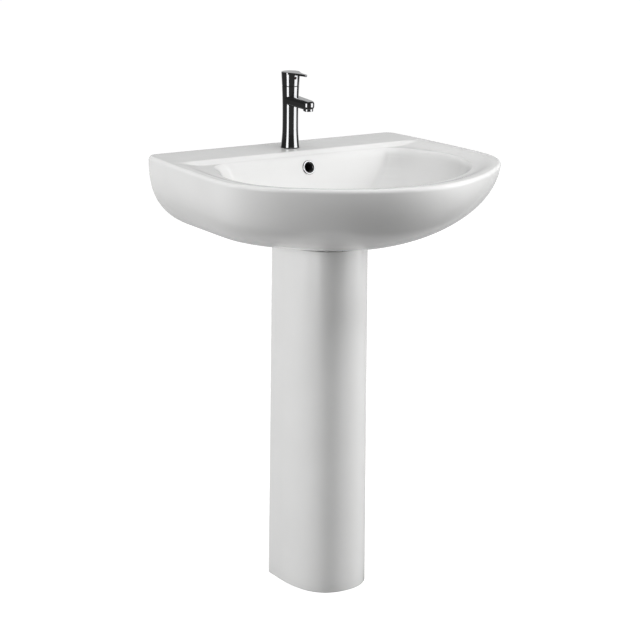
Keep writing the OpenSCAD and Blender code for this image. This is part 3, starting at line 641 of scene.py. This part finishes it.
# The overflow ring's section and its painted shade's, as (radius, distance along the axis) in
# millimetres
OVERFLOW_SECTION = [
    (8.7, -13), (10.4, -13), (10.4, -0.9), (13.2, -0.9),
    (14.1, 0.5), (13.2, 1.9), (10.8, 1.9), (8.7, 0.2)]
PAINTED_SHADE_SECTION = [(8.6, -0.6), (8.6, -19.4), (0.05, -19.4), (0.05, -18.9), (8.2, -18.9), (8.2, -0.6)]
AERATOR_INNER, AERATOR_OUTER = 8.3 * MM, 9.7 * MM
COIN_SLOT_HALF_WIDTH, COIN_SLOT_DEPTH = 0.0015, 0.0014

# The plug's edge, as (radius, height) in millimetres above its rolled rim's foot, and its crown
PLUG_EDGE = [
    (0.0, -2.9), (8, -2.9), (8, 0.4), (29.3, 0.4), (29.9, 0.7), (30, 1.2), (29.8, 1.8), (28.6, 2.5)]
CROWN_RADIUS, CROWN_FOOT, CROWN_RISE, CROWN_POWER = 28.6, 2.5, 2.1, 2.2


def turned_along(name, profile, start, axis):
    """Turns a closed section of (radius, distance along the axis) about an axis through start."""
    start, axis = Vector(start), Vector(axis).normalized()
    rings = [circle(start + axis * along, axis, radius, TURNED_STEPS) for radius, along in profile]
    return new_object(name, *stack(rings, loop=True))


def rounded_section(corners, radius):
    """A closed section with each corner cut back by the radius and rounded."""
    corners = [Vector(c) for c in corners]
    section = []
    neighbours = zip(corners[-1:] + corners[:-1], corners, corners[1:] + corners[:1])
    for before, corner, after in neighbours:
        first = corner + (before - corner).normalized() * radius
        last = corner + (after - corner).normalized() * radius
        for t in np.linspace(0, 1, ROUND_STEPS):
            section.append(first * (1 - t) ** 2 + corner * 2 * t * (1 - t) + last * t ** 2)
    return [tuple(p) for p in section]


def make_overflow_ring():
    """Chrome flange round the overflow hole, with its sleeve."""
    section = rounded_section([(r * MM, h * MM) for r, h in OVERFLOW_SECTION], 0.3 * MM)
    return turned_along("overflow_flange", section, OVERFLOW, OVERFLOW_OUT)


def make_overflow_shade():
    """Painted shade: a thin black sleeve and disc closing the overflow's mouth off from the pale
    china round it.
    """
    section = [(r * MM, h * MM) for r, h in PAINTED_SHADE_SECTION]
    return turned_along("overflow_painted_shade", section, OVERFLOW, OVERFLOW_OUT)


def make_aerator():
    """The aerator's housing, with a rounded mouth and two coin slots."""
    low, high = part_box("aerator_housing")
    tall = high.z - low.z
    corners = [(AERATOR_INNER, 0), (AERATOR_OUTER, 0), (AERATOR_OUTER, tall), (AERATOR_INNER, tall)]
    section = rounded_section(corners, 0.5 * MM)
    housing = turned_along("aerator_shell", section, (0, AERATOR.y, low.z), (0, 0, 1))
    slot = block((-0.012, AERATOR.y - COIN_SLOT_HALF_WIDTH, low.z - 0.001),
                 (0.012, AERATOR.y + COIN_SLOT_HALF_WIDTH, low.z + COIN_SLOT_DEPTH))
    return combine(housing, [slot])


def make_plug():
    """The click plug: a polished dome with a rolled edge."""
    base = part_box("plug_cap")[0].z + 2.9 * MM
    crown = [(r, CROWN_FOOT + CROWN_RISE * (1 - (r / CROWN_RADIUS) ** CROWN_POWER))
             for r in np.linspace(27.5, 0.0, 24)]
    profile = [(r * MM, base + h * MM) for r, h in PLUG_EDGE + crown]
    return revolve("plug_dome", profile, WASTE.y, smooth_angle=40)


def make_index():
    """Small domed dot over the lever's grub screw."""
    low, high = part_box("lever_index_cap")
    radius, depth = (high.x - low.x) / 2, high.y - low.y
    profile = [(radius, 0.0), (radius, depth * 0.6),
               (radius * 0.9, depth * 0.85), (radius * 0.6, depth)]
    x, y, z = (low.x + high.x) / 2, high.y, (low.z + high.z) / 2
    turns = np.linspace(0, 2 * math.pi, 48, endpoint=False)
    rings = [[(x + r * math.cos(a), y - h, z + r * math.sin(a)) for a in turns] for r, h in profile]
    return new_object("index_dot", *stack(rings), 40)


FITTINGS = [
    (tap_body, "tap_body", "sink", "chrome"),
    (lever, "lever", "handle", "chrome"),
    (make_overflow_ring(), "overflow_ring", "sink", "chrome"),
    (make_aerator(), "aerator_housing", "sink", "chrome"),
    (make_plug(), "plug_cap", "plug", "chrome"),
    (make_index(), "lever_index_cap", "handle", "index_red"),
]
for piece, node, body, slot in FITTINGS:
    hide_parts(node)
    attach(piece, body)
# A black sleeve and disc painted as shade in the overflow's mouth, carried with the sink.
overflow_shade = make_overflow_shade()
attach(overflow_shade, "sink")

# ---------------------------------------------------------------- materials

BUMP_DETAIL, DRIFT_DETAIL = 3, 4
DRIFT_LOW, DRIFT_HIGH = 0.3, 0.7


def new_material(name):
    """A material with its nodes, its links and its main shader."""
    material = bpy.data.materials.new(name)
    material.use_nodes = True
    nodes = material.node_tree.nodes
    return material, nodes, material.node_tree.links, nodes["Principled BSDF"]


def add_bump(nodes, links, shader, scale, strength, distance):
    """Fine surface relief from noise in the object's own space. Returns the coordinates it uses."""
    place = nodes.new("ShaderNodeTexCoord")
    noise = nodes.new("ShaderNodeTexNoise")
    noise.inputs["Scale"].default_value = scale
    noise.inputs["Detail"].default_value = BUMP_DETAIL
    bump = nodes.new("ShaderNodeBump")
    bump.inputs["Strength"].default_value = strength
    bump.inputs["Distance"].default_value = distance
    links.new(place.outputs["Object"], noise.inputs["Vector"])
    links.new(noise.outputs["Fac"], bump.inputs["Height"])
    links.new(bump.outputs["Normal"], shader.inputs["Normal"])
    return place


def drift(nodes, links, place, scale):
    """Soft noise over the surface, for a colour or a number to follow."""
    noise = nodes.new("ShaderNodeTexNoise")
    noise.inputs["Scale"].default_value = scale
    noise.inputs["Detail"].default_value = DRIFT_DETAIL
    links.new(place.outputs["Object"], noise.inputs["Vector"])
    return noise.outputs["Fac"]


def vary(nodes, links, place, socket, scale, low, high):
    """Lets a number drift between low and high over the surface."""
    spread = nodes.new("ShaderNodeMapRange")
    spread.inputs["From Min"].default_value = DRIFT_LOW
    spread.inputs["From Max"].default_value = DRIFT_HIGH
    spread.inputs["To Min"].default_value = low
    spread.inputs["To Max"].default_value = high
    links.new(drift(nodes, links, place, scale), spread.inputs["Value"])
    links.new(spread.outputs["Result"], socket)


def vary_colour(nodes, links, place, socket, scale, low, high):
    """Lets a colour drift between two over the surface."""
    ramp = nodes.new("ShaderNodeValToRGB")
    first, last = ramp.color_ramp.elements
    first.position, last.position = DRIFT_LOW, DRIFT_HIGH
    first.color, last.color = (*low, 1), (*high, 1)
    links.new(drift(nodes, links, place, scale), ramp.inputs["Fac"])
    links.new(ramp.outputs["Color"], socket)


def simple_material(name, low, high, metallic, smoothest, roughest, colour_scale, bump):
    """A material whose colour and roughness drift a little, with fine relief."""
    material, nodes, links, shader = new_material(name)
    shader.inputs["Metallic"].default_value = metallic
    place = add_bump(nodes, links, shader, *bump)
    vary_colour(nodes, links, place, shader.inputs["Base Color"], colour_scale, low, high)
    vary(nodes, links, place, shader.inputs["Roughness"], colour_scale * 3, smoothest, roughest)
    return material


# By slot: material name, darker and lighter colour, metallic, least and most roughness, scale of
# the drift, then the relief's scale, strength and distance in metres
FINISHES = {
    "china": ("white_glaze", (0.755, 0.755, 0.75), (0.78, 0.78, 0.775),
              0, 0.16, 0.22, 9, (22, 0.12, 0.0006)),
    "chrome": ("polished_chrome", (0.80, 0.81, 0.83), (0.86, 0.865, 0.875),
               1, 0.035, 0.08, 60, (180, 0.02, 0.0001)),
    "brass": ("machined_brass", (0.62, 0.44, 0.17), (0.76, 0.57, 0.26),
              1, 0.22, 0.38, 80, (900, 0.2, 0.0001)),
    "copper": ("copper_tube", (0.62, 0.27, 0.15), (0.80, 0.40, 0.24),
               1, 0.2, 0.42, 40, (300, 0.1, 0.0002)),
    "rubber": ("black_rubber", (0.018, 0.018, 0.018), (0.035, 0.035, 0.037),
               0, 0.55, 0.75, 90, (1200, 0.3, 0.0001)),
    "white_plastic": ("white_polypropylene", (0.74, 0.74, 0.72), (0.80, 0.80, 0.79),
                      0, 0.32, 0.45, 30, (700, 0.12, 0.0001)),
    "grey_plastic": ("grey_acetal", (0.20, 0.21, 0.22), (0.26, 0.27, 0.28),
                     0, 0.35, 0.5, 60, (900, 0.15, 0.0001)),
    "disc_ceramic": ("lapped_alumina", (0.72, 0.69, 0.62), (0.80, 0.78, 0.72),
                     0, 0.15, 0.25, 120, (1500, 0.05, 0.0001)),
    "steel": ("turned_steel", (0.42, 0.42, 0.43), (0.56, 0.56, 0.57),
              1, 0.25, 0.4, 70, (1000, 0.2, 0.0001)),
    "index_red": ("index_plastic", (0.030, 0.004, 0.004), (0.045, 0.006, 0.005),
                  0, 0.2, 0.3, 200, (900, 0.05, 0.0001)),
}
MATERIALS = {slot: simple_material(*finish) for slot, finish in FINISHES.items()}
glaze = MATERIALS["china"].node_tree.nodes["Principled BSDF"]
glaze.inputs["Coat Weight"].default_value = 0.5
glaze.inputs["Coat Roughness"].default_value = 0.10
glaze.inputs["IOR"].default_value = 1.5


def dress(piece, slot):
    """Gives a piece its slot's material and no other."""
    piece.data.materials.clear()
    piece.data.materials.append(MATERIALS[slot])


for row in frame["record"]["subparts"]:
    dress(frame["nodes"][row["node"]], row["material_slot"])
# The overflow's painted shade takes the black rubber finish, so its mouth reads as deep shade.
for piece, slot in [(basin, "china"), (pedestal, "china"), (overflow_shade, "rubber")]:
    dress(piece, slot)
for piece, _, _, slot in FITTINGS:
    dress(piece, slot)

# ---------------------------------------------------------------- studio

FLOOR_SIZE = 30.0
FLOOR_GREYS = (0.30, 0.30, 0.30), (0.31, 0.31, 0.31)
FLOOR_RELIEF = 40, 0.05, 0.0005
FLOOR_DRIFT, FLOOR_ROUGHNESS = 3, 0.8
MIDDLE = (0, 0.05, 0.6)

# Brightness of the floor and the room, by who sees them
FLOOR_TO_CAMERA, ROOM_TO_CAMERA = 0.93, 1.0
FLOOR_IN_MIRRORS, ROOM_IN_MIRRORS, BACKDROP_IN_MIRRORS = 0.03, 0.02, 0.45
ROOM_ON_MATT = 0.26
BACKDROP_HEADING = (-math.sin(CAMERA_AZIMUTH), math.cos(CAMERA_AZIMUTH), 0)
BACKDROP_FULL, BACKDROP_EDGE = math.radians(20), math.radians(50)


def backdrop_level(nodes, links, place, low):
    """A level that rises from low to the backdrop's, straight beyond the sink from the camera."""
    flat = nodes.new("ShaderNodeVectorMath")
    flat.operation = "MULTIPLY"
    flat.inputs[1].default_value = (1, 1, 0)
    heading = nodes.new("ShaderNodeVectorMath")
    heading.operation = "NORMALIZE"
    beyond = nodes.new("ShaderNodeVectorMath")
    beyond.operation = "DOT_PRODUCT"
    beyond.inputs[1].default_value = BACKDROP_HEADING
    level = nodes.new("ShaderNodeMapRange")
    level.interpolation_type = "SMOOTHSTEP"
    level.inputs["From Min"].default_value = math.cos(BACKDROP_EDGE)
    level.inputs["From Max"].default_value = math.cos(BACKDROP_FULL)
    level.inputs["To Min"].default_value = low
    level.inputs["To Max"].default_value = BACKDROP_IN_MIRRORS
    links.new(place, flat.inputs[0])
    links.new(flat.outputs["Vector"], heading.inputs[0])
    links.new(heading.outputs["Vector"], beyond.inputs[0])
    links.new(beyond.outputs["Value"], level.inputs["Value"])
    return level.outputs["Result"]


def switch(nodes, links, ray, otherwise, chosen):
    """A number for the shader: chosen for one kind of ray, otherwise for all the rest."""
    mix = nodes.new("ShaderNodeMix")
    mix.inputs["B"].default_value = chosen
    links.new(otherwise, mix.inputs["A"])
    links.new(ray, mix.inputs["Factor"])
    return mix.outputs["Result"]


def make_floor():
    """A plain pale floor. The camera sees it evenly lit, matt china gets its soft bounce, and
    mirrors see it dark except for the backdrop."""
    half = FLOOR_SIZE / 2
    corners = [(-half, -half, 0), (half, -half, 0), (half, half, 0), (-half, half, 0)]
    floor = new_object("floor", corners, [(0, 1, 2, 3)])
    material, nodes, links, shader = new_material("pale_floor")
    place = add_bump(nodes, links, shader, *FLOOR_RELIEF)
    vary_colour(nodes, links, place, shader.inputs["Base Color"], FLOOR_DRIFT, *FLOOR_GREYS)
    shader.inputs["Roughness"].default_value = FLOOR_ROUGHNESS
    path = nodes.new("ShaderNodeLightPath")
    mirrored = nodes.new("ShaderNodeMath")
    mirrored.operation = "MULTIPLY"
    backdrop = backdrop_level(nodes, links, place.outputs["Object"], FLOOR_IN_MIRRORS)
    links.new(backdrop, mirrored.inputs[0])
    links.new(path.outputs["Is Glossy Ray"], mirrored.inputs[1])
    strength = switch(
        nodes, links, path.outputs["Is Camera Ray"], mirrored.outputs["Value"], FLOOR_TO_CAMERA)
    glow = nodes.new("ShaderNodeEmission")
    both = nodes.new("ShaderNodeAddShader")
    seen = nodes.new("ShaderNodeMixShader")
    links.new(strength, glow.inputs["Strength"])
    links.new(shader.outputs["BSDF"], both.inputs[0])
    links.new(glow.outputs["Emission"], both.inputs[1])
    links.new(path.outputs["Is Glossy Ray"], seen.inputs["Fac"])
    links.new(both.outputs["Shader"], seen.inputs[1])
    links.new(glow.outputs["Emission"], seen.inputs[2])
    links.new(seen.outputs["Shader"], nodes["Material Output"].inputs["Surface"])
    floor.data.materials.append(material)


def area_light(name, azimuth, elevation, distance, width, height, power,
               lights_matt=True, seen_in_gloss=True):
    """A soft box facing the sink. Azimuth 0 is in front of it, positive to its right."""
    a, e = math.radians(azimuth), math.radians(elevation)
    back = Vector((math.sin(a) * math.cos(e), -math.cos(a) * math.cos(e), math.sin(e)))
    data = bpy.data.lights.new(name, "AREA")
    data.shape = "RECTANGLE"
    data.size, data.size_y = width, height
    data.energy = power
    light = bpy.data.objects.new(name, data)
    light.location = Vector(MIDDLE) + back * distance
    light.visible_diffuse = lights_matt
    light.visible_glossy = seen_in_gloss
    light.rotation_mode = "QUATERNION"
    light.rotation_quaternion = (-back).to_track_quat("-Z", "Y")
    bpy.context.scene.collection.objects.link(light)


def make_world():
    """White to the camera. Mirrors see a dark room with a pale backdrop, and matt surfaces get a
    dim, even light."""
    world = bpy.data.worlds.new("studio")
    world.use_nodes = True
    bpy.context.scene.world = world
    nodes, links = world.node_tree.nodes, world.node_tree.links
    background = nodes["Background"]
    background.inputs["Color"].default_value = (1, 1, 1, 1)
    path = nodes.new("ShaderNodeLightPath")
    place = nodes.new("ShaderNodeTexCoord")
    mirrored = backdrop_level(nodes, links, place.outputs["Generated"], ROOM_IN_MIRRORS)
    unseen = switch(nodes, links, path.outputs["Is Diffuse Ray"], mirrored, ROOM_ON_MATT)
    strength = switch(nodes, links, path.outputs["Is Camera Ray"], unseen, ROOM_TO_CAMERA)
    links.new(strength, background.inputs["Strength"])


make_floor()
make_world()
# Name, azimuth, elevation, distance, width, height, power in watts
area_light("left_box", -106, 3, 2.6, 1.4, 1.4, 53, seen_in_gloss=False)
area_light("right_box", 62, 10, 2.6, 1.4, 2.0, 70, seen_in_gloss=False)
area_light("top_box", -10, 80, 2.4, 2.0, 2.0, 30, seen_in_gloss=False)
area_light("key_box", 12, 48, 2.4, 0.4, 0.4, 11, seen_in_gloss=False)
area_light("left_strip", -72, 8, 2.6, 1.25, 2.6, 12, lights_matt=False)
area_light("right_strip", 45, 10, 2.6, 2.2, 2.6, 20, lights_matt=False)

# The basin isn't mirrored in the chrome, so neither is what it hides from the plug.
UNDER_DECK = (
    "tap_stud", "tap_rubber_washer", "tap_clamp_plate", "tap_nut",
    "hot_tail", "cold_tail", "tail_seals")
for unmirrored in [basin] + [frame["nodes"][node] for node in UNDER_DECK]:
    unmirrored.visible_glossy = False
bpy.context.scene.view_settings.view_transform = "Standard"
